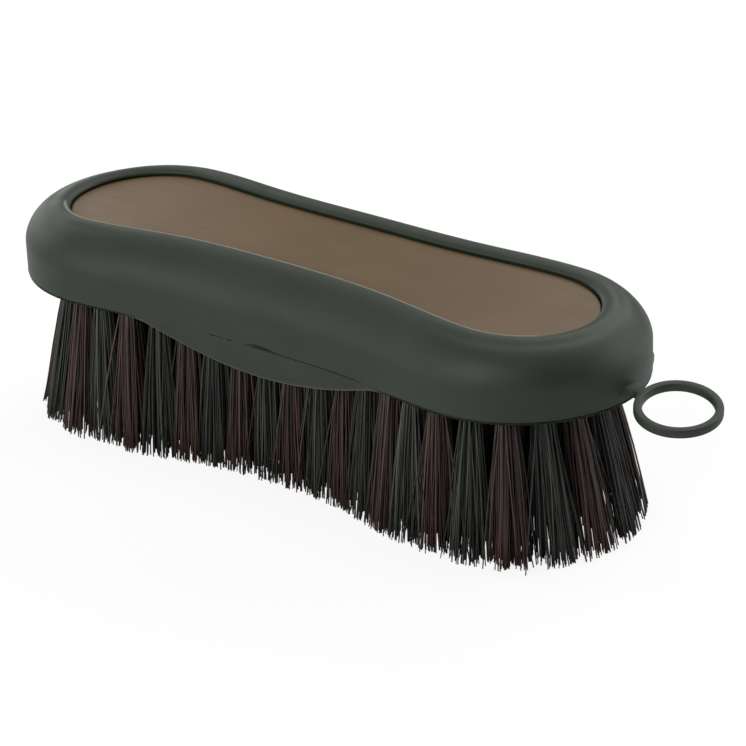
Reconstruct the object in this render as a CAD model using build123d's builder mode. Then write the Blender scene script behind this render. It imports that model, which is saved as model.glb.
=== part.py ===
from build123d import *

import os
from math import cos, radians, sin, sqrt

# A grooming brush with a soft-grip cover, in millimetres.
# The origin is on the plane of the bristle tips, under the middle of the body.
# +X runs along the body towards the hanging ring, +Z is up, out of the back of the brush.

# Body
body_length = 180.0  # end to end, without the ring
lobe_width = 62.6  # across the rounded ends
waist_width = 54.8  # across the middle
bristle_reach = 38.5  # tips up to the level lower edge of the cover
body_height = 19.5  # lower edge up to the rim's crest at mid-length
crown_radius = 1350.0  # lengthwise curve of the back

# Grip cover
rim_width = 9.4  # side wall in to the rim's crest
rim_round = 9.0
cover_wall = 3.2
lower_edge_round = 0.8
skirt_drop = 7.9  # how far the finger lip hangs below the level edge
skirt_half_chord = 39.0
window_round = 1.6  # inner edge of the rim, where it turns down to the inlay

# Hanging ring, moulded with the cover
ring_bore_radius = 8.4
ring_band = 2.0
ring_height = 2.2
ring_reach = 13.63  # body end out to the ring's centre
ring_rise = 1.45  # cover's lower edge up to the ring's centre
ring_droop = 7.1  # degrees below level
ring_twist = 7.2  # degrees, raises the ring's +Y side
neck_rise = 2.7  # cover's lower edge up to the middle of the neck's root
neck_width = 3.8
neck_height = 2.8
neck_bite = 1.5  # how deep the neck runs into the cover's wall

# Inlay panel
inlay_inset = 2.5  # rim's crest in to the window
inlay_sink = 1.8  # below the rim's crest
inlay_thickness = 2.4
inlay_edge_round = 0.5
peg_radius = 2.0
peg_floor = 1.6  # block left between a peg's socket and the ends of the holes
peg_x = 52.0
peg_y = 8.5

# Block
block_recess = 0.5  # above the cover's level lower edge
block_round = 5.5
hole_depth = 9.5

# Tufts: three rows a side that follow the waisted outline, and one down the middle
tuft_root_radius = 2.1
tuft_flare = 0.6  # added to the radius at the tip
tuft_pitch = 8.3
side_rows = 3
lobe_margin = 4.0  # block's side to the outer row, across the lobes
end_margin = 10.3  # block's end to the outer row
waist_margin = 6.6  # block's side to the outer row, at the waist
end_lean = 11.5  # degrees, outer row, at the ends
side_lean = 2.0  # degrees, outer row, along the sides

# Anchors: the flat wire staple that each tuft is folded over
anchor_thickness = 0.4
anchor_height = 2.2
anchor_bite = 0.3  # into the block, past the hole's wall at each end
anchor_below_top = 2.6  # hole's end down to the anchor's middle

# Clearances
moulding_gap = 0.15  # block or inlay to cover
glue_gap = 0.1  # inlay to block
peg_gap = 0.1
hole_gap = 0.1  # tuft to its hole, round it and above it
anchor_gap = 0.05

lobe_radius = lobe_width / 2
waist_half = waist_width / 2
lobe_x = (body_length - lobe_width) / 2
crest_z = bristle_reach + body_height
skirt_z = bristle_reach - skirt_drop
block_z = bristle_reach + block_recess
inlay_z = crest_z - inlay_sink
block_top_z = inlay_z - inlay_thickness - glue_gap
cut_reach = body_length  # long enough to pass every face
hole_radius = tuft_root_radius + hole_gap
tuft_tip_radius = tuft_root_radius + tuft_flare
outer_row_lobe_radius = lobe_radius - cover_wall - moulding_gap - lobe_margin
outer_row_waist = waist_half - cover_wall - moulding_gap - waist_margin
row_lobe_x = lobe_x - (end_margin - lobe_margin)
shoulder_share = 0.2  # of the way from waist to lobe width, half way along the side

os.makedirs("parts", exist_ok=True)


def half_outline(centre_x, radius, waist):
    """One side of a waisted outline, +X end to -X end: quarter arc, drawn-in side, quarter arc."""
    shoulder = (centre_x / 2, waist + shoulder_share * (radius - waist))
    with BuildLine() as side:
        RadiusArc((centre_x + radius, 0), (centre_x, radius), -radius)
        Spline(
            (centre_x, radius),
            shoulder,
            (0, waist),
            (-shoulder[0], shoulder[1]),
            (-centre_x, radius),
            tangents=((-1, 0), (-1, 0)),
        )
        RadiusArc((-centre_x, radius), (-centre_x - radius, 0), -radius)
    return side.wire()


def waisted_face(z, inset):
    """The body's plan at a level, drawn in by an inset all round."""
    with BuildSketch(Plane.XY.offset(z)) as plan:
        with BuildLine():
            side = add(half_outline(lobe_x, lobe_radius - inset, waist_half - inset).edges())
            mirror(side, about=Plane.XZ)
        make_face()
    return plan.sketch


def crown_face(top_z, bottom_z):
    """Side view of a crowned slab: one long arc on top and a flat or equal arc below."""
    fall = crown_radius - sqrt(crown_radius**2 - cut_reach**2)
    with BuildSketch(Plane.XZ) as view:
        with BuildLine():
            ThreePointArc((-cut_reach, top_z - fall), (0, top_z), (cut_reach, top_z - fall))
            Line((cut_reach, top_z - fall), (cut_reach, bottom_z - fall))
            ThreePointArc((cut_reach, bottom_z - fall), (0, bottom_z), (-cut_reach, bottom_z - fall))
            Line((-cut_reach, bottom_z - fall), (-cut_reach, top_z - fall))
        make_face()
    return view.sketch


def crown_level(top_z, x):
    """Height of the crown at a distance along the body."""
    return top_z - crown_radius + sqrt(crown_radius**2 - x**2)


def crowned_form(inset, base_z, top_z, upper_round):
    """The body's form drawn in by an inset: upright sides, crowned back, rounded upper edge."""
    with BuildPart() as form:
        extrude(waisted_face(base_z, inset), amount=crest_z)
        extrude(crown_face(top_z, -body_length), amount=lobe_width, both=True, mode=Mode.INTERSECT)
        fillet(form.faces().sort_by(Axis.Z)[-1].edges(), upper_round)
    return form.part


def row_places(row):
    """Planes at the hole mouths of one row, on the block's lower face, each leaning outwards."""
    share = abs(row) / side_rows
    if row == 0:
        half_count = round(row_lobe_x / tuft_pitch)
        return [
            Plane((-row_lobe_x * i / half_count, 0, block_z), x_dir=(1, 0, 0), z_dir=(0, 0, 1))
            for i in range(-half_count, half_count + 1)
        ]
    line = half_outline(row_lobe_x, outer_row_lobe_radius * share, outer_row_waist * share)
    count = round(line.length / tuft_pitch)
    side = 1 if row > 0 else -1
    places = []
    for i in range(count):
        point = line @ ((i + 0.5) / count)
        along = line % ((i + 0.5) / count)
        outward = Vector(along.Y, -along.X, 0)
        lean = radians(share * (end_lean * abs(outward.X) + side_lean * abs(outward.Y)))
        places.append(
            Plane(
                (point.X, side * point.Y, block_z),
                x_dir=(along.X, side * along.Y, 0),
                z_dir=(-outward.X * sin(lean), -side * outward.Y * sin(lean), cos(lean)),
            )
        )
    return places


rows = {
    "left_outer": 3,
    "left_middle": 2,
    "left_inner": 1,
    "centre": 0,
    "right_inner": -1,
    "right_middle": -2,
    "right_outer": -3,
}
places = {name: [plane.location for plane in row_places(row)] for name, row in rows.items()}
all_places = [place for row in places.values() for place in row]

peg_root_z = crown_level(inlay_z - inlay_thickness, peg_x)
peg_length = peg_root_z - glue_gap - peg_gap - peg_floor - (block_z + hole_depth + hole_gap)
peg_places = [(x, y, peg_root_z) for x in (-peg_x, peg_x) for y in (-peg_y, peg_y)]

# Grip cover: a soft rubber moulding over the block, open over the inlay and underneath.
with BuildPart() as hanging_ring:
    droop = radians(ring_droop)
    twist = radians(ring_twist)
    ring_plane = Plane(
        (body_length / 2 + ring_reach, 0, bristle_reach + ring_rise),
        x_dir=(cos(droop), 0, -sin(droop)),
        z_dir=(sin(droop) * cos(twist), -sin(twist), cos(droop) * cos(twist)),
    )
    with BuildSketch(ring_plane):
        Circle(ring_bore_radius + ring_band)
    extrude(amount=ring_height / 2, both=True)
    neck_root = Vector(body_length / 2, 0, bristle_reach + neck_rise)
    neck_tip = ring_plane.origin - ring_plane.x_dir * (ring_bore_radius + ring_band / 2)
    neck_line = neck_tip - neck_root
    with BuildSketch(Plane(neck_root, x_dir=neck_line, z_dir=(-neck_line.Z, 0, neck_line.X))):
        with Locations((-neck_bite, 0)):
            Rectangle(neck_bite + neck_line.length, neck_width, align=(Align.MIN, Align.CENTER))
    extrude(amount=neck_height / 2, both=True)
    with BuildSketch(ring_plane):
        Circle(ring_bore_radius)
    extrude(amount=neck_height, both=True, mode=Mode.SUBTRACT)

with BuildPart() as grip_cover:
    add(crowned_form(0, skirt_z, crest_z, rim_round))
    with BuildSketch(Plane.XZ):
        with BuildLine():
            edge_end = (body_length, bristle_reach)
            Line(edge_end, (skirt_half_chord, bristle_reach))
            ThreePointArc((skirt_half_chord, bristle_reach), (0, skirt_z), (-skirt_half_chord, bristle_reach))
            Line((-skirt_half_chord, bristle_reach), (-body_length, bristle_reach))
            Polyline((-body_length, bristle_reach), (-body_length, 0), (body_length, 0), edge_end)
        make_face()
    extrude(amount=lobe_width, both=True, mode=Mode.SUBTRACT)
    underside = grip_cover.faces().filter_by(lambda face: face.normal_at().Z < 0)
    fillet(underside.edges().filter_by(Axis.Y, reverse=True), lower_edge_round)
    add(crowned_form(cover_wall, 0, block_top_z + moulding_gap, block_round), mode=Mode.SUBTRACT)
    extrude(waisted_face(bristle_reach, rim_width + inlay_inset), amount=crest_z, mode=Mode.SUBTRACT)
    fillet(grip_cover.faces().sort_by(Axis.Z)[-1].edges().group_by(SortBy.LENGTH)[0], window_round)
    add(hanging_ring.part)

# Block: the hard core under the cover, drilled for the tufts, with slots where the anchors bite.
with BuildPart() as brush_block:
    add(crowned_form(cover_wall + moulding_gap, block_z, block_top_z, block_round))
    with Locations(*all_places):
        with Locations((0, 0, -hole_radius)):
            Cylinder(
                hole_radius,
                hole_radius + hole_depth + hole_gap,
                align=(Align.CENTER, Align.CENTER, Align.MIN),
                mode=Mode.SUBTRACT,
            )
        with Locations((0, 0, hole_depth - anchor_below_top)):
            Box(
                2 * (hole_radius + anchor_bite + anchor_gap),
                anchor_thickness + 2 * anchor_gap,
                anchor_height + 2 * anchor_gap,
                mode=Mode.SUBTRACT,
            )
    with Locations(*peg_places):
        Cylinder(
            peg_radius + peg_gap,
            2 * (peg_length + glue_gap + peg_gap),
            mode=Mode.SUBTRACT,
        )

# Inlay: the hard coloured panel in the back, crowned like the rim, with four locating pegs.
with BuildPart() as top_inlay:
    extrude(waisted_face(bristle_reach, rim_width + inlay_inset + moulding_gap), amount=crest_z)
    extrude(crown_face(inlay_z, inlay_z - inlay_thickness), amount=lobe_width, both=True, mode=Mode.INTERSECT)
    fillet(top_inlay.faces().sort_by(Axis.Z)[-1].edges(), inlay_edge_round)
    with Locations(*peg_places):
        Cylinder(peg_radius, 2 * peg_length)

# One tuft stands for its bundle of filaments: straight in its hole, then opening out to the tip.
# It is folded over its anchor, so it has a slot there.
with BuildPart() as tuft:
    tip_overrun = 2 * tuft_tip_radius
    with BuildSketch(Plane.XZ):
        with BuildLine():
            Polyline(
                (0, hole_depth),
                (tuft_root_radius, hole_depth),
                (tuft_root_radius, 0),
                (tuft_tip_radius, -block_z),
                (tuft_tip_radius, -block_z - tip_overrun),
                (0, -block_z - tip_overrun),
                close=True,
            )
        make_face()
    revolve(axis=Axis.Z)
    with Locations((0, 0, hole_depth - anchor_below_top)):
        Box(
            2 * hole_radius,
            anchor_thickness + 2 * anchor_gap,
            anchor_height + 2 * anchor_gap,
            mode=Mode.SUBTRACT,
        )

with BuildPart() as anchor:
    with Locations((0, 0, hole_depth - anchor_below_top)):
        Box(2 * (hole_radius + anchor_bite), anchor_thickness, anchor_height)

pieces = {"grip_cover": grip_cover, "brush_block": brush_block, "top_inlay": top_inlay}
for row, spots in places.items():
    # The colours alternate along a row, and swap sides so that they also alternate round the ends.
    black_start = 0 if rows[row] >= 0 else 1
    for colour, start in {"black": black_start, "brown": 1 - black_start}.items():
        with BuildPart() as tufts:
            with Locations(*spots[start::2]):
                add(tuft.part)
            split(bisect_by=Plane.XY, keep=Keep.TOP)
        pieces[f"tufts_{colour}_{row}"] = tufts
    with BuildPart() as anchors:
        with Locations(*spots):
            add(anchor.part)
    pieces[f"anchors_{row}"] = anchors

for node, piece in pieces.items():
    piece.part.label = node
    export_step(piece.part, f"parts/{node}.step")
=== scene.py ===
import math

import bmesh
import bpy
import numpy as np
from mathutils import Matrix, Vector


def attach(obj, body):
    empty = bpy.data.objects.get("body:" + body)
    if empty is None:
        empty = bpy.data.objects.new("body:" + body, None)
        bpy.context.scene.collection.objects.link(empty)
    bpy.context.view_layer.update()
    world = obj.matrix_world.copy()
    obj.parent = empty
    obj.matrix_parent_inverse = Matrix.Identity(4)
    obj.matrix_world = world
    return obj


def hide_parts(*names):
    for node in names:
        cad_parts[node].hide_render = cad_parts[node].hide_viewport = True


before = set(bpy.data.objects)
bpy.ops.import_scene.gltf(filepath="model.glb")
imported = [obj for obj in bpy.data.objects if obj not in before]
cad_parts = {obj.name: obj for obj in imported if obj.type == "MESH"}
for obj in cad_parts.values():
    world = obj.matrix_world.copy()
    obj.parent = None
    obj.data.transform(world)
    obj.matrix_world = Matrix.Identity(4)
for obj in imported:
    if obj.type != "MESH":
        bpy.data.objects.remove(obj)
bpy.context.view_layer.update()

# ---------------------------------------------------------------------------------------------
# Grip cover. One soft rubber moulding that wraps the block from the lower edge over the rim and
# down to the inlay. Its mould halves meet just above the lower edge and leave a fine line there.
# Lengths are in millimetres until a mesh is made.
MM = 0.001
lobe_x = 58.7
lobe_radius = 31.3
waist_half = 27.4
waist_power = 1.76
crest_top = 58.0
crown_radius = 1350.0
edge_level = 37.6

rim_width = 9.4
rim_power = 1.75
rim_foot = 46.7
side_draft = 0.08
lip_height = 1.3
lip_inset = 0.12
lip_round = 0.7
wall = 3.2
skirt_drop = 7.0
skirt_half_chord = 36.8
skirt_blend = 1.2
window_inset = 2.5
window_sink = 1.8
bead_drop = 1.15
bead_undercut = 0.45
edge_painted_highlight = 0.3
valley_depth = 0.3
valley_inset = 2.6
ridge_inset = 1.35
ridge_height = 0.28
core_level = 53.7


def ramp(x, radius, waist):
    """Half width of the sides: the waist, plus half a cosine wave of (x / lobe_x) to a power."""
    wave = (1 - np.cos(np.pi * (np.abs(x) / lobe_x) ** waist_power)) / 2
    return waist + (radius - waist) * wave


def outline(turn, radius, waist, shift=0.0):
    """Waisted outline at turn 0 to 1, from the +X tip by +Y: a round lobe at each end, and the
    sides between them as ramp() gives them. Every outline spends the same turns on each stretch.
    A shift moves both lobes towards the middle."""
    quarter = np.pi * lobe_radius / 2
    lap = 4 * quarter + 4 * lobe_x
    run = turn % 1 * lap
    run = np.where(run > lap / 2, run - lap, run)
    there = np.abs(run)
    side_x = np.clip(lobe_x + quarter - there, -lobe_x, lobe_x)
    angle = np.minimum(there, quarter) / lobe_radius
    angle = angle + np.maximum(there - quarter - 2 * lobe_x, 0) / lobe_radius
    x = side_x * (1 - shift / lobe_x) + radius * np.cos(angle)
    y = ramp(side_x, radius, waist) * np.sin(angle) * np.sign(run)
    return x, y


def inset_outline(turn, inset):
    """The rim crest's outline, moved outwards by a negative inset or inwards by a positive one."""
    return outline(turn, lobe_radius - rim_width - inset, waist_half - rim_width - inset)


def crown(x):
    """How far the back has fallen, at x, from its height at mid-length: a large circle's arc."""
    return crown_radius - np.sqrt(crown_radius**2 - x**2)


def smooth(value, low, high):
    """0 below low, 1 above high, and a cubic S between them."""
    share = np.clip((value - low) / (high - low), 0, 1)
    return share * share * (3 - 2 * share)


def lower_edge(x):
    """Lower edge of the cover: level, with an arc that hangs below it on both sides of the waist.
    The two meet in a small round: the lower of the two, softened by a square root."""
    arc_radius = (skirt_half_chord**2 + skirt_drop**2) / (2 * skirt_drop)
    inside = np.maximum(arc_radius**2 - x**2, 0)
    arc = arc_radius - skirt_drop - np.sqrt(inside)
    return edge_level + (arc - np.sqrt(arc**2 + skirt_blend**2) + skirt_blend) / 2


def wrapped_quads(rows, columns, close_rows=True, close_columns=True):
    """Corner numbers of the quads of a grid of points, wrapped round in either direction."""
    row = np.arange(rows if close_rows else rows - 1)[:, None]
    column = np.arange(columns if close_columns else columns - 1)[None, :]
    next_row, next_column = (row + 1) % rows, (column + 1) % columns
    corners = [
        row * columns + column,
        next_row * columns + column,
        next_row * columns + next_column,
        row * columns + next_column,
    ]
    return np.stack([c.ravel() for c in corners], axis=1)


def make_piece(name, points, faces, merge=0.0, marks=None):
    """A smooth object from points in millimetres and quads, its doubles merged within merge.
    Marks are named sets of one value for each point."""
    mesh = bpy.data.meshes.new(name)
    mesh.vertices.add(len(points))
    mesh.vertices.foreach_set("co", (points * MM).astype(np.float32).ravel())
    mesh.loops.add(faces.size)
    mesh.loops.foreach_set("vertex_index", faces.astype(np.int32).ravel())
    mesh.polygons.add(len(faces))
    starts = np.arange(0, faces.size, faces.shape[1], dtype=np.int32)
    mesh.polygons.foreach_set("loop_start", starts)
    mesh.polygons.foreach_set("use_smooth", np.ones(len(faces), bool))
    mesh.update(calc_edges=True)
    for mark, values in (marks or {}).items():
        layer = mesh.attributes.new(mark, "FLOAT", "POINT")
        layer.data.foreach_set("value", values.astype(np.float32))
    if merge:
        work = bmesh.new()
        work.from_mesh(mesh)
        bmesh.ops.remove_doubles(work, verts=work.verts, dist=merge * MM)
        bmesh.ops.recalc_face_normals(work, faces=work.faces)
        work.to_mesh(mesh)
        work.free()
    mesh.validate()
    piece = bpy.data.objects.new(name, mesh)
    bpy.context.scene.collection.objects.link(piece)
    return piece


# The parting line: a groove's depth and height, plain, and what a lobe or an opening adds to them.
mark_shift = 9.0
groove_depth, groove_depth_on_lobe, groove_depth_open = 0.05, 0.16, 0.9
groove_height, groove_height_on_lobe = 0.10, 0.10
groove_height_open, groove_height_torn = 0.30, 0.60
lobe_shade = 0.45
far_opening = 0.25
dash_strength, crack_strength = 0.9, 0.7

# The scrap of flash that the mould left on the side of the lobe nearest the ring.
flash_x, flash_y, flash_rise = 82.8, 20.0, 1.2
flash_spread, flash_height, flash_reach = 1.2, 1.0, 0.8

valley_spread = 1.1
ridge_spread = 0.3
inner_lap = 1.0
inner_chamfer = (1.8, 2.0, 5.5)


def cover_shell(turns=760):
    """The cover's section, from the inner foot of its wall round the outside and back inside,
    carried round the outline. Each station is an inset from the crest and a level, with how much
    painted highlight and painted groove shade its colour carries."""
    turn = np.arange(turns) / turns
    crest_x, crest_y = inset_outline(turn, 0)
    crest = crest_top - crown(crest_x)
    bottom = lower_edge(crest_x)
    parting = edge_level + lip_height
    stations = []

    def station(inset, level, painted_highlight=0.0, painted_groove_shade=0.0):
        values = (inset, level, painted_highlight, painted_groove_shade)
        stations.append([np.broadcast_to(value, turn.shape) for value in values])

    # the wall's foot, from inside to the rounded outer corner
    foot = -(rim_width - side_draft - lip_inset)
    station(-(rim_width - wall), bottom + lip_round / 2)
    station(-(rim_width - wall) - lip_round / 2, bottom)
    # the outer corner's round carries a painted highlight: a light line along the lower edge
    for bend in np.linspace(0, np.pi / 2, 6):
        painted_highlight = edge_painted_highlight * np.sin(2 * bend)
        level = bottom + lip_round * (1 - np.cos(bend))
        station(foot + lip_round * (1 - np.sin(bend)), level, painted_highlight)
    # the lip, up to the parting line, a fine groove that opens where the halves met badly
    on_skirt = smooth(-lower_edge(crest_x), -edge_level + 0.3, -edge_level + 2.0)
    near_side = smooth(-crest_y, 0, 5)
    mark_x = crest_x - mark_shift
    ripple = np.sin(mark_x * 0.83 + 1.0) * np.sin(mark_x * 0.47) + 0.5 * np.sin(mark_x * 2.1)
    dashes = smooth(ripple, 0.1, 0.6) * smooth(mark_x, -30, -27) * smooth(-mark_x, 9, 12)
    tear = smooth(mark_x, -14, -9) * smooth(-mark_x, 1, 7)
    crack = smooth(mark_x, -9, -6) * smooth(-mark_x, -34, -28)
    opening = on_skirt * np.maximum.reduce([dashes * dash_strength, tear, crack * crack_strength])
    on_lobe = smooth(np.abs(crest_x), 40, 52) * smooth(crest_x, 20, 50)
    opening = opening * (far_opening + (1 - far_opening) * near_side)
    depth = groove_depth + groove_depth_on_lobe * on_lobe + groove_depth_open * opening
    # shade is painted shade: the groove is coloured darker on the lobe and near-black where it
    # opens
    shade = np.maximum(lobe_shade * on_lobe, opening)
    gap = groove_height + groove_height_on_lobe * on_lobe + groove_height_open * opening
    gap = gap + groove_height_torn * tear * on_skirt * near_side
    lip_step = lip_inset * (1 - on_skirt)
    outer = -(rim_width - side_draft)
    station(outer + lip_step, parting - 0.55)
    station(outer + lip_step, parting - 0.25)
    station(outer + lip_step + 0.02, parting - 0.10)
    station(outer + lip_step + depth, parting - 0.02, painted_groove_shade=shade)
    station(outer + depth, parting + gap * 0.6, painted_groove_shade=shade)
    station(outer - 0.05, parting + gap, painted_groove_shade=shade * 0.4)
    station(outer - 0.03, parting + gap + 0.15)
    for share in (0.15, 0.35, 0.55, 0.75, 0.9):
        level = parting + 0.9 + (rim_foot - parting - 0.9) * share
        sag = side_draft * ((rim_foot - level) / (rim_foot - parting)) ** 2
        station(-(rim_width - sag), level)
    # the rim: a quarter of a superellipse from the side up to the crest
    for angle in np.linspace(0, np.pi / 2, 22):
        inset = -rim_width * np.cos(angle) ** (2 / rim_power)
        dip = valley_depth * np.exp(-(((inset + valley_inset) / valley_spread) ** 2))
        dip = dip * smooth(np.abs(crest_x), 42, 64)
        station(inset, rim_foot + (crest - rim_foot) * np.sin(angle) ** (2 / rim_power) - dip)
    # the bead round the window, undercut below its widest level, and the hidden inside
    for angle in np.linspace(0.12, np.pi / 2, 20):
        inset = window_inset * np.sin(angle)
        # on the near side a low ridge on the bead, coloured with a light line: a painted highlight
        ridge_highlight = np.exp(-(((inset - ridge_inset) / ridge_spread) ** 2)) * smooth(-crest_y, 12, 16)
        station(inset, crest - bead_drop * (1 - np.cos(angle)) + ridge_height * ridge_highlight, ridge_highlight)
    for bend in np.linspace(0.2, 1, 5):
        sunk = (window_sink - bead_drop) * bend
        station(window_inset - bead_undercut * bend**2, crest - bead_drop - sunk)
    core = core_level + 0.15 - crown(crest_x)
    station(window_inset - bead_undercut, crest - window_sink - 0.5)
    station(window_inset, core)
    station(-inner_lap, core - 0.1)
    station(-(rim_width - wall) + inner_chamfer[0], core - inner_chamfer[1])
    station(-(rim_width - wall), core - inner_chamfer[2])
    station(-(rim_width - wall), edge_level + 0.5)
    points = []
    for inset, level, _, _ in stations:
        x, y = inset_outline(turn, inset)
        points.append(np.stack([x, y, level], axis=1))
    # the scrap of flash: a small round bump, pushed outwards from the lobe's centre
    grid = np.array(points)
    flash = np.exp(
        -(((grid[..., 0] - flash_x) / flash_spread) ** 2)
        - ((grid[..., 1] - flash_y) / flash_spread) ** 2
    )
    flash = flash * np.exp(-(((grid[..., 2] - parting - flash_rise) / flash_height) ** 2))
    outwards = np.stack([grid[..., 0] - lobe_x, grid[..., 1], 0 * flash], axis=-1)
    outwards /= np.linalg.norm(outwards, axis=-1, keepdims=True) + 1e-9
    grid = grid + outwards * (flash_reach * flash)[..., None]
    marks = {"painted_highlight": np.array([s[2] for s in stations]), "painted_groove_shade": np.array([s[3] for s in stations])}
    return grid.reshape(-1, 3), wrapped_quads(len(stations), turns), marks


# The neck and the hanging ring, in the same rubber. The soft ring droops and is a little twisted.
ring_droop = math.radians(7.1)
ring_twist = math.radians(7.2)
ring_centre = np.array([103.63, 0.0, 39.95])
ring_along = np.array([math.cos(ring_droop), 0.0, -math.sin(ring_droop)])
ring_up = np.array([math.sin(ring_droop), -math.tan(ring_twist), math.cos(ring_droop)])
ring_up = ring_up / np.linalg.norm(ring_up)
ring_side = np.cross(ring_up, ring_along)
ring_radius = 9.4
ring_wobble = 0.06
band_half = 1.0
band_half_height = 1.1
neck_root = np.array([88.5, 0.0, 41.2])
neck_lap = 0.1
neck_half, neck_flare_root, neck_flare_tip = 1.7, 1.9, 1.3
neck_half_height, neck_root_height = 1.1, 0.6
neck_squareness = 3.2
neck_end_half = 0.01


def rounded_bar(angle, half_width, half_height, squareness=5.0):
    """Section of a moulded bar: a superellipse, nearly a rectangle with small round corners."""
    cosine, sine = np.cos(angle), np.sin(angle)
    across = half_width * np.sign(cosine) * np.abs(cosine) ** (2 / squareness)
    up = half_height * np.sign(sine) * np.abs(sine) ** (2 / squareness)
    return across, up


def ring_band(steps=120, sides=28):
    """The hanging ring: a rounded bar carried round a circle in the ring's drooping plane."""
    swing = np.linspace(0, 2 * np.pi, steps, endpoint=False)[:, None]
    angle = np.linspace(0, 2 * np.pi, sides, endpoint=False)[None, :]
    across, up = rounded_bar(angle, band_half, band_half_height)
    wobble = ring_wobble * np.sin(3 * swing + 0.6)
    radius = ring_radius + across + wobble
    along, side = radius * np.cos(swing), radius * np.sin(swing)
    local = np.stack([along, side, up + 0 * along], axis=-1)
    points = local @ np.array([ring_along, ring_side, ring_up]) + ring_centre
    return points.reshape(-1, 3), wrapped_quads(steps, sides)


def ring_neck(steps=18, sides=28):
    """The neck: a rounded bar from inside the cover's wall to the ring's band, wide at both ends.
    Its half width is a flare in from each end, and its two ends close on their middle point."""
    tip = ring_centre - ring_along * (ring_radius - neck_lap)
    line = tip - neck_root
    line_up = np.array([-line[2], 0, line[0]]) / np.linalg.norm(line)
    share = np.linspace(0, 1, steps)
    flare_in, flare_out = 1 - smooth(share, 0, 0.7), smooth(share, 0.55, 1)
    half_width = neck_half + neck_flare_root * flare_in**1.5 + neck_flare_tip * flare_out**1.5
    half_height = neck_half_height + neck_root_height * flare_in
    share = np.concatenate([share[:1], share, share[-1:]])
    half_width = np.concatenate([[neck_end_half], half_width, [neck_end_half]])
    half_height = np.concatenate([[neck_end_half], half_height, [neck_end_half]])
    angle = np.linspace(0, 2 * np.pi, sides, endpoint=False)[None, :]
    across, up = rounded_bar(angle, half_width[:, None], half_height[:, None], neck_squareness)
    local = np.stack([share[:, None] + 0 * across, across, up], axis=-1)
    points = local @ np.array([line, (0, 1, 0), line_up]) + neck_root
    return points.reshape(-1, 3), wrapped_quads(len(share), sides, close_rows=False)


def joined(parts):
    """Points and quads of several surfaces as one set."""
    starts = np.cumsum([0] + [len(points) for points, _ in parts[:-1]])
    points = np.concatenate([points for points, _ in parts])
    faces = np.concatenate([faces + start for (_, faces), start in zip(parts, starts)])
    return points, faces


class Link:
    """An output of a shader node. Arithmetic on it adds Math nodes, and make() adds any other."""

    def __init__(self, tree, socket=None):
        self.tree = tree
        self.socket = socket

    def make(self, kind, settings=None, inputs=None, output=0):
        node = self.tree.nodes.new(kind)
        for name, value in (settings or {}).items():
            setattr(node, name, value)
        for name, value in (inputs or {}).items():
            if isinstance(value, Link):
                self.tree.links.new(value.socket, node.inputs[name])
            else:
                node.inputs[name].default_value = value
        return Link(self.tree, node.outputs[output])

    def math(self, operation, first, second=0.0, clamp=False):
        return self.make(
            "ShaderNodeMath", {"operation": operation, "use_clamp": clamp}, {0: first, 1: second}
        )

    def __add__(self, other):
        return self.math("ADD", self, other)

    __radd__ = __add__

    def __sub__(self, other):
        return self.math("SUBTRACT", self, other)

    def __rsub__(self, other):
        return self.math("SUBTRACT", other, self)

    def __mul__(self, other):
        return self.math("MULTIPLY", self, other)

    __rmul__ = __mul__

    def __pow__(self, other):
        return self.math("POWER", self, other)

    def between(self, low, high):
        """0 at low and 1 at high, clamped."""
        return self.math("MULTIPLY", self - low, 1 / (high - low), clamp=True)

    def mix(self, first, second):
        """The first colour where this is 0 and the second where it is 1."""
        return self.make(
            "ShaderNodeMix", {"data_type": "RGBA"}, {0: self, 6: first, 7: second}, output=2
        )

    def place(self):
        return self.make("ShaderNodeTexCoord", output="Object")

    def noise(self, scale, detail=3.0, roughness=0.5, stretch=None):
        where = self.place()
        if stretch:
            where = self.make("ShaderNodeMapping", {}, {"Vector": where, "Scale": stretch})
        return self.make(
            "ShaderNodeTexNoise",
            {},
            {"Vector": where, "Scale": scale, "Detail": detail, "Roughness": roughness},
        )

    def bump(self, strength, distance):
        """A Bump node's normal with this as its height, strength 0 to 1 and distance in metres."""
        return self.make(
            "ShaderNodeBump", {}, {"Strength": strength, "Distance": distance, "Height": self},
            output="Normal",
        )


def linear(red, green, blue):
    """A screen colour of 0 to 255 as the linear colour that shaders take."""
    share = np.array([red, green, blue]) / 255
    value = np.where(share <= 0.04045, share / 12.92, ((share + 0.055) / 1.055) ** 2.4)
    return (*value.tolist(), 1.0)


def surface(name):
    """A new material with one Principled shader: returns the material, a Link and the shader."""
    material = bpy.data.materials.new(name)
    material.use_nodes = True
    tree = material.node_tree
    shader = tree.nodes["Principled BSDF"]
    return material, Link(tree), shader


def drive(shader, inputs):
    """Sets or links the shader's sockets."""
    for name, value in inputs.items():
        if isinstance(value, Link):
            value.tree.links.new(value.socket, shader.inputs[name])
        else:
            shader.inputs[name].default_value = value


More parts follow.
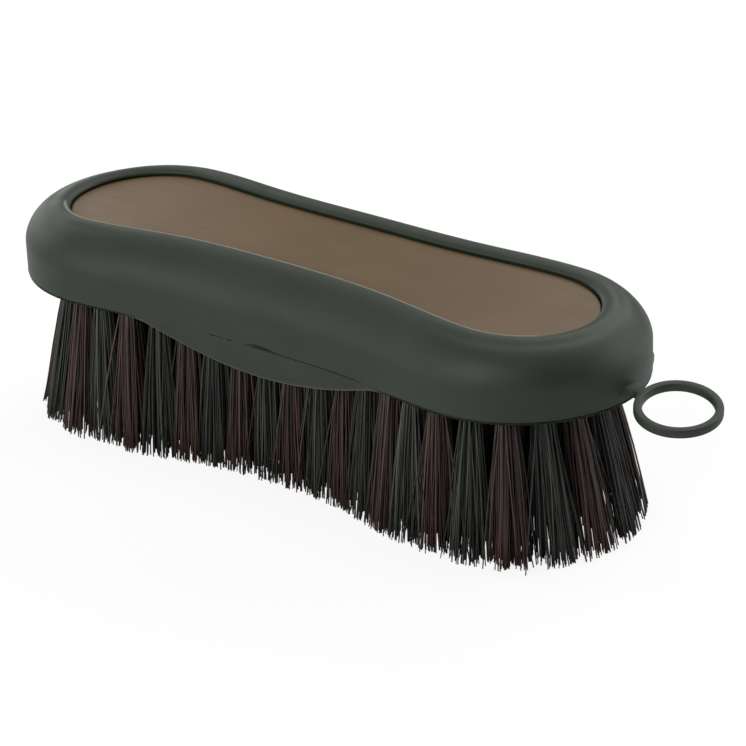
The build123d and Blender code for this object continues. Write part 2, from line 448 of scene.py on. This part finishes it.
def soft_rubber():
    """Matt grey-green rubber: a fine spark-eroded grain, faint mould clouds and rubbed patches."""
    material, new, shader = surface("soft_grip_rubber")
    clouds = new.noise(scale=38.0, detail=4.0, roughness=0.55)
    grain = new.noise(scale=5200.0, detail=2.0, roughness=0.6)
    smudge = new.noise(scale=95.0, detail=5.0, roughness=0.65, stretch=(1.0, 1.0, 2.2))
    smudge = smudge.between(0.42, 0.68)
    tone = clouds.between(0.3, 0.7)
    colour = tone.mix(linear(36, 45, 34), linear(42, 51, 40))
    painted_highlight = new.make("ShaderNodeAttribute", {"attribute_name": "painted_highlight"}, output="Fac")
    painted_groove_shade = new.make("ShaderNodeAttribute", {"attribute_name": "painted_groove_shade"}, output="Fac")
    # painted highlight: a light colour on the lower edge's round and on the near ridge
    colour = painted_highlight.between(0.0, 1.0).mix(colour, linear(132, 130, 116))
    # painted shade: the parting groove darkened, near-black where it opens
    colour = (painted_groove_shade.between(0.1, 0.8) * 0.9).mix(colour, linear(10, 11, 9))
    drive(shader, {
        "Base Color": colour,
        "Roughness": 0.50 + smudge * 0.08 + grain * 0.06,
        "Specular IOR Level": 0.32,
        "Normal": (grain + smudge * 0.3).bump(strength=0.16, distance=0.00012),
    })
    return material


rubber = soft_rubber()
shell_points, shell_faces, marks = cover_shell()
points, faces = joined([(shell_points, shell_faces), ring_band(), ring_neck()])
rest = len(points) - len(shell_points)
marks = {mark: np.concatenate([values.ravel(), np.zeros(rest)]) for mark, values in marks.items()}
cover = make_piece("cover_moulding", points, faces, merge=0.005, marks=marks)
cover.data.materials.append(rubber)
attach(cover, "root")
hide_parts("grip_cover")

# ---------------------------------------------------------------------------------------------
# Inlay. A hard satin plastic panel, crowned like the rim and dropped into the window in the cover,
# where it is glued to the block. Its place for a name is bare.
inlay_gap = 0.15
inlay_round = 0.45
inlay_thickness = 2.4


def inlay_panel(turns=420):
    """A closed skin: from the middle line of the underside out to the edge, round it and back over
    the top to the middle line. At each station the outline has shrunk towards that line."""
    turn = np.arange(turns) / turns
    top = crest_top - window_sink
    full = window_inset + inlay_gap
    reach_radius = lobe_radius - rim_width - full
    reach_waist = waist_half - rim_width - full
    stations = [(share, 0.0, -inlay_thickness) for share in (0, 0.35, 0.7, 0.9)]
    stations.append((1, 0.0, -inlay_thickness))
    stations += [
        (1, inlay_round * (1 - math.cos(bend)), inlay_round * (math.sin(bend) - 1))
        for bend in np.linspace(0, math.pi / 2, 6)
    ]
    stations += [(share, inlay_round, 0.0) for share in np.linspace(0.98, 0, 26)]
    rows = []
    for share, inset, level in stations:
        x, y = outline(turn, (reach_radius - inset) * share, (reach_waist - inset) * share)
        rows.append(np.stack([x, y, top - crown(x) + level], axis=1))
    return np.concatenate(rows), wrapped_quads(len(rows), turns, close_rows=False)


def satin_brown():
    """Moulded brown plastic: satin, a little darker in clouds, with a fine even grain."""
    material, new, shader = surface("inlay_plastic")
    clouds = new.noise(scale=30.0, detail=3.0, roughness=0.5).between(0.3, 0.7)
    grain = new.noise(scale=3600.0, detail=2.0, roughness=0.5)
    rub = new.noise(scale=160.0, detail=6.0, roughness=0.7, stretch=(0.4, 1.6, 1.0))
    rub = rub.between(0.45, 0.7)
    colour = clouds.mix(linear(83, 61, 30), linear(92, 70, 38))
    drive(shader, {
        "Base Color": (rub * 0.12).mix(colour, linear(106, 88, 58)),
        "Roughness": 0.46 + rub * 0.10 + grain * 0.05,
        "Specular IOR Level": 0.4,
        "Normal": grain.bump(strength=0.12, distance=0.0001),
    })
    return material


points, faces = inlay_panel()
inlay = make_piece("inlay_panel", points, faces, merge=0.002)
inlay.data.materials.append(satin_brown())
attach(inlay, "root")
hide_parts("top_inlay")

# ---------------------------------------------------------------------------------------------
# Block and anchors. The block is the hard black core that is drilled for the tufts; only its lower
# face shows, between them. The anchors are bits of flat steel wire, driven in with each tuft.
def core_plastic():
    """Black moulded plastic with a coarse eroded grain and dust in the hollows."""
    material, new, shader = surface("block_plastic")
    grain = new.noise(scale=1800.0, detail=4.0, roughness=0.6)
    dust = new.noise(scale=140.0, detail=4.0, roughness=0.6).between(0.45, 0.75)
    drive(shader, {
        "Base Color": (dust * 0.4).mix(linear(30, 32, 30), linear(62, 62, 56)),
        "Roughness": 0.5 + grain * 0.15,
        "Normal": grain.bump(strength=0.25, distance=0.0001),
    })
    return material


def flat_wire():
    """Drawn steel wire: bright, with fine lines along it and a dull patch here and there."""
    material, new, shader = surface("anchor_wire")
    drawn = new.noise(scale=900.0, detail=3.0, roughness=0.6, stretch=(0.1, 1.0, 1.0))
    dull = new.noise(scale=260.0, detail=3.0, roughness=0.5).between(0.4, 0.7)
    drive(shader, {
        "Base Color": dull.mix(linear(196, 196, 192), linear(150, 148, 142)),
        "Metallic": 1.0,
        "Roughness": 0.25 + drawn * 0.2 + dull * 0.1,
        "Normal": drawn.bump(strength=0.2, distance=0.00005),
    })
    return material


core, wire = core_plastic(), flat_wire()
for name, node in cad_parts.items():
    if name == "brush_block" or name.startswith("anchors_"):
        node.data.materials.clear()
        node.data.materials.append(core if name == "brush_block" else wire)

# ---------------------------------------------------------------------------------------------
# Tufts. Bundles of stiff plastic filament, black and brown by turns, folded over an anchor in each
# hole and trimmed level. They open out towards the tips and lean outwards round the ends.
block_level = 39.0
side_rows = 3
outer_row_radius = 23.95
outer_row_waist = 17.45
row_shift = 6.3
tuft_pitch = 8.3
centre_row_count = 13
end_lean = 11.5
side_lean = 2.0
bundle_radius = 1.95
tip_spread = 4.7
tip_limit_x = 88.4
tip_limit_out = 3.5
tip_limit_y = 30.2
filament_radius = 0.185
filament_radius_range = (0.82, 1.15)
filament_thinning = 0.18
filaments_per_tuft = 106
filament_rings = 6
filament_sides = 6
tip_scatter = 1.1
stray_share, stray_scatter = 0.10, 3.4
cut_scatter, cut_least = 0.65, 0.15
short_share, short_reach = 0.03, 6
bow_scatter, bow_spread = 0.3, 0.25
root_depth = 1.5


def row_places(row):
    """Root point and outward lean of each tuft in a row, even steps along its outline. The lean is
    the tangent of an angle that grows with the row's share of the way out and towards the ends.
    Rows 1 to 3 lie on +Y, rows -1 to -3 on -Y, and row 0 runs down the middle."""
    if row == 0:
        x = (lobe_x - row_shift) * np.linspace(1, -1, centre_row_count)
        return np.stack([x, 0 * x], axis=1), np.zeros((centre_row_count, 2))
    share = abs(row) / side_rows
    turn = np.linspace(0, 0.5, 4001)
    x, y = outline(turn, outer_row_radius * share, outer_row_waist * share, row_shift)
    run = np.concatenate([[0], np.cumsum(np.hypot(np.diff(x), np.diff(y)))])
    count = round(run[-1] / tuft_pitch)
    at = (np.arange(count) + 0.5) / count * run[-1]
    along = np.stack([np.gradient(x, run), np.gradient(y, run)], axis=1)
    root = np.stack([np.interp(at, run, x), np.interp(at, run, y)], axis=1)
    tangent = np.stack([np.interp(at, run, along[:, 0]), np.interp(at, run, along[:, 1])], axis=1)
    outward = np.stack([tangent[:, 1], -tangent[:, 0]], axis=1)
    degrees = end_lean * np.abs(outward[:, 0]) + side_lean * np.abs(outward[:, 1])
    outward = outward * np.tan(np.radians(share * degrees))[:, None]
    side = np.array([1, np.sign(row)])
    return root * side, outward * side


def bundle(root, lean, dice):
    """Filaments of a set of tufts as tubes. Each starts in its bundle, runs to its own tip with a
    slight bow and a chance of straying, and is cut off near the tip plane."""
    count = len(root) * filaments_per_tuft
    root = np.repeat(root, filaments_per_tuft, axis=0)
    lean = np.repeat(lean, filaments_per_tuft, axis=0)
    swing = dice.uniform(0, 2 * np.pi, count)
    within = np.sqrt(dice.uniform(0, 1, count))
    spoke = np.stack([np.cos(swing), np.sin(swing)], axis=1)
    start = root + spoke * (within * bundle_radius)[:, None]
    tip = root + lean * block_level + spoke * (within * tip_spread)[:, None]
    tip = tip + dice.normal(0, tip_scatter, (count, 2))
    stray = (dice.uniform(0, 1, count) < stray_share)[:, None]
    tip = tip + stray * dice.normal(0, stray_scatter, (count, 2))
    outward = lean / (np.linalg.norm(lean, axis=1, keepdims=True) + 1e-9)
    beyond = ((tip - root - lean * block_level) * outward).sum(axis=1, keepdims=True)
    tip = tip - outward * np.maximum(beyond - tip_limit_out, 0)
    tip = np.clip(tip, (-tip_limit_x, -tip_limit_y), (tip_limit_x, tip_limit_y))
    height = np.abs(dice.normal(0, cut_scatter, count)) + cut_least
    short = dice.uniform(0, 1, count) < short_share
    height = np.where(short, height + dice.uniform(0, short_reach, count), height)
    bow = dice.normal(0, bow_scatter, (count, 2)) + spoke * bow_spread
    share = np.linspace(0, 1, filament_rings)[None, :, None]
    line = start[:, None] + (tip - start)[:, None] * share + bow[:, None] * np.sin(np.pi * share)
    climb = (height - block_level - root_depth)[:, None]
    level = (block_level + root_depth) + climb * share[..., 0]
    centre = np.concatenate([line, level[..., None]], axis=2)
    angle = np.linspace(0, 2 * np.pi, filament_sides, endpoint=False)
    thick = filament_radius * dice.uniform(*filament_radius_range, count)[:, None, None]
    thick = thick * (1 - filament_thinning * share**2)
    rim = np.stack([np.cos(angle), np.sin(angle), 0 * angle], axis=1)
    points = centre[:, :, None] + rim[None, None] * thick[..., None]
    tone = np.repeat(dice.uniform(0, 1, count), filament_rings * filament_sides)
    along = np.broadcast_to(share, (count, filament_rings, filament_sides)).ravel()
    return points.reshape(-1, 3), tone, along


def tube_quads(count):
    """Quads of each filament's side, and two at each end that close it."""
    side = wrapped_quads(filament_rings, filament_sides, close_rows=False)
    last = (filament_rings - 1) * filament_sides
    ends = np.array([
        [0, 1, 2, 3],
        [0, 3, 4, 5],
        [last + 3, last + 2, last + 1, last],
        [last + 5, last + 4, last + 3, last],
    ])
    one = np.concatenate([side, ends])
    start = np.arange(count)[:, None, None] * filament_rings * filament_sides
    return (one[None] + start).reshape(-1, 4)


def bristle(name, dark, light, warm):
    """Extruded plastic filament, smooth and a little glossy. Each filament has its own tone."""
    material, new, shader = surface(name)
    tone = new.make("ShaderNodeAttribute", {"attribute_name": "tone"}, output="Fac")
    along = new.make("ShaderNodeAttribute", {"attribute_name": "along"}, output="Fac")
    scuff = new.noise(scale=700.0, detail=2.0, roughness=0.5, stretch=(1.0, 1.0, 0.15))
    scuff = scuff.between(0.4, 0.7)
    colour = (tone**3.2).mix(dark, light)
    colour = (along.between(0.55, 1.0) * 0.5).mix(colour, warm)
    drive(shader, {
        "Base Color": colour,
        "Roughness": 0.34 + scuff * 0.14 + tone * 0.06,
        "Specular IOR Level": 0.5,
    })
    return material


black = bristle("black_bristle", linear(20, 22, 18), linear(72, 79, 68), linear(27, 25, 22))
brown = bristle("brown_bristle", linear(33, 22, 19), linear(88, 63, 52), linear(56, 27, 21))
rows = {
    "left_outer": 3,
    "left_middle": 2,
    "left_inner": 1,
    "centre": 0,
    "right_inner": -1,
    "right_middle": -2,
    "right_outer": -3,
}
dice = np.random.default_rng(11)
for row_name, row in rows.items():
    root, lean = row_places(row)
    black_start = 0 if row >= 0 else 1
    for colour, start in (("black", black_start), ("brown", 1 - black_start)):
        points, tone, along = bundle(root[start::2], lean[start::2], dice)
        faces = tube_quads(len(root[start::2]) * filaments_per_tuft)
        tufts = make_piece(
            f"bristle_{colour}_{row_name}", points, faces, marks={"tone": tone, "along": along}
        )
        tufts.data.materials.append(black if colour == "black" else brown)
        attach(tufts, "root")
        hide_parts(f"tufts_{colour}_{row_name}")

# ---------------------------------------------------------------------------------------------
# Stage. A white floor that keeps a soft shadow, and seven large soft lamps: two in front, one
# above, one behind, two on the left and one behind on the right. The camera, on a long lens, is
# above the brush, in front of the ring's end.
floor_half = 3000.0
floor_white = 0.8
floor_glow = 1.03
floor_glow_share = 0.86
room_light = 0.03


def white_floor():
    """White card. The camera sees it mostly by its own light, so that it stays white, and the rest
    by the lamps, so that it shades. To every other ray it is plain matt card."""
    material = bpy.data.materials.new("white_card")
    material.use_nodes = True
    tree = material.node_tree
    new = Link(tree)
    tree.nodes.remove(tree.nodes["Principled BSDF"])
    card = (floor_white, floor_white, floor_white, 1)
    lit = new.make("ShaderNodeBsdfDiffuse", {}, {"Color": card}, output="BSDF")
    glow = new.make("ShaderNodeEmission", {}, {"Color": (1, 1, 1, 1), "Strength": floor_glow})
    seen = new.make("ShaderNodeLightPath", output="Is Camera Ray")
    both = new.make("ShaderNodeMixShader", {}, {0: seen * floor_glow_share, 1: lit, 2: glow})
    tree.links.new(both.socket, tree.nodes["Material Output"].inputs["Surface"])
    return material


floor = make_piece(
    "floor",
    floor_half * np.array([[-1, -1, 0], [1, -1, 0], [1, 1, 0], [-1, 1, 0]]),
    np.array([[0, 1, 2, 3]]),
)
floor.data.materials.append(white_floor())

world = bpy.data.worlds.new("studio")
bpy.context.scene.world = world
world.use_nodes = True
tree = world.node_tree
new = Link(tree)
room = tree.nodes["Background"]
seen = new.make("ShaderNodeLightPath", output="Is Camera Ray")
sky = new.make("ShaderNodeBackground", {}, {"Color": (1, 1, 1, 1), "Strength": 1.0})
room.inputs["Color"].default_value = (1, 1, 1, 1)
room.inputs["Strength"].default_value = room_light
shown = new.make("ShaderNodeMixShader", {}, {0: seen, 1: Link(tree, room.outputs[0]), 2: sky})
tree.links.new(shown.socket, tree.nodes["World Output"].inputs["Surface"])


def softbox(name, place, aim, width, height, watts):
    """A rectangular area lamp at place, in metres, facing aim."""
    lamp = bpy.data.lights.new(name, "AREA")
    lamp.shape = "RECTANGLE"
    lamp.size = width
    lamp.size_y = height
    lamp.energy = watts
    holder = bpy.data.objects.new(name, lamp)
    bpy.context.scene.collection.objects.link(holder)
    facing = (Vector(aim) - Vector(place)).to_track_quat("-Z", "Y")
    holder.matrix_world = Matrix.Translation(place) @ facing.to_matrix().to_4x4()


softbox("lamp_front", (0.1, -1.3, 0.9), (0, 0, 0.04), 0.8, 0.8, 11.2)
softbox("lamp_front_low", (-0.5, -1.2, 0.35), (0, 0, 0.04), 0.8, 0.5, 5.9)
softbox("lamp_above", (-0.05, 0.15, 1.1), (0, 0, 0.05), 0.8, 0.6, 4.5)
softbox("lamp_back", (0.0, 0.55, 0.45), (0, 0, 0.055), 0.6, 0.3, 2.2)
softbox("lamp_left", (-0.95, -0.05, 0.35), (0, 0, 0.04), 0.5, 0.6, 2.4)
softbox("lamp_left_back", (-0.80, 0.42, 0.30), (0, 0, 0.04), 0.5, 0.6, 2.0)
softbox("lamp_right_back", (0.62, 0.80, 0.36), (0, 0, 0.04), 0.5, 0.6, 4.6)

# Camera: its direction from the target, its roll, its distance in metres and its lens.
azimuth, elevation, roll = math.radians(39.46), math.radians(24.37), math.radians(-2.0)
distance = 0.85374
focal_length = 167.97
target = Vector((0.01362, 0.0, 0.02578))
back = Vector((
    math.sin(azimuth) * math.cos(elevation),
    -math.cos(azimuth) * math.cos(elevation),
    math.sin(elevation),
))
level_right = Vector((math.cos(azimuth), math.sin(azimuth), 0))
level_up = back.cross(level_right)
right = math.cos(roll) * level_right + math.sin(roll) * level_up
up = back.cross(right)
lens = bpy.data.cameras.new("camera")
lens.sensor_width = 36.0
lens.lens = focal_length
lens.clip_end = 50.0
camera = bpy.data.objects.new("camera", lens)
camera.matrix_world = Matrix.Translation(target + back * distance) @ Matrix(
    (right, up, back)
).transposed().to_4x4()
bpy.context.scene.collection.objects.link(camera)
bpy.context.scene.camera = camera
bpy.context.scene.view_settings.view_transform = "Standard"
